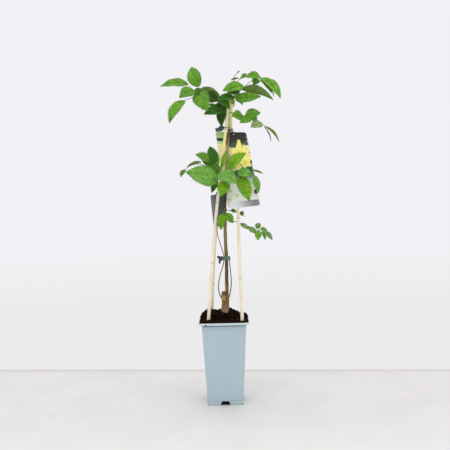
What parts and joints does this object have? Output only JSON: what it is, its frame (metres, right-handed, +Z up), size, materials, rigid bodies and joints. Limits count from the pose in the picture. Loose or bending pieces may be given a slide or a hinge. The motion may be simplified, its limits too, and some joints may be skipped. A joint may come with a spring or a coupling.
{
  "type": "potted trumpet vine",
  "caption": "Young climbing vine with pinnate leaves in a tall square nursery pot, tied to bamboo canes, with a hanging picture label.",
  "frame": {"origin": "on the ground, under the middle of the pot", "axes": "+Z up along the canes, the picture label's face looks along -Y"},
  "size_m": [0.3455, 0.1984, 0.96],
  "materials": {
    "pot_plastic": "blue-grey moulded plastic with a soft sheen",
    "peat": "dark crumbly potting peat",
    "bamboo": "pale smooth bamboo",
    "bark": "olive brown young bark",
    "leaf": "fresh green leaf, slightly glossy",
    "soft_tie": "dull grey green soft tube tie",
    "wire": "black coated wire",
    "label_print": "printed glossy plastic card",
    "card_back": "dark plastic card"
  },
  "bodies": {
    "root": {"pot": "pot_plastic", "soil": "peat", "cane_front_left": "bamboo", "cane_back_left": "bamboo", "cane_right": "bamboo", "stem": "bark", "tie_middle": "soft_tie", "tie_top": "soft_tie", "label_card": "label_print", "label_wire": "wire", "care_card": "card_back", "leaf_top_left": "leaf", "leaf_top_right": "leaf", "leaf_top_back": "leaf", "leaf_under_left": "leaf", "leaf_under_right": "leaf", "leaf_mid_left_up": "leaf", "leaf_mid_left": "leaf", "leaf_mid_front": "leaf", "leaf_mid_right": "leaf", "leaf_mid_back": "leaf", "leaf_low_front": "leaf", "leaf_low_right": "leaf", "leaf_low_back": "leaf", "tip": "leaf"}
  },
  "joints": []
}
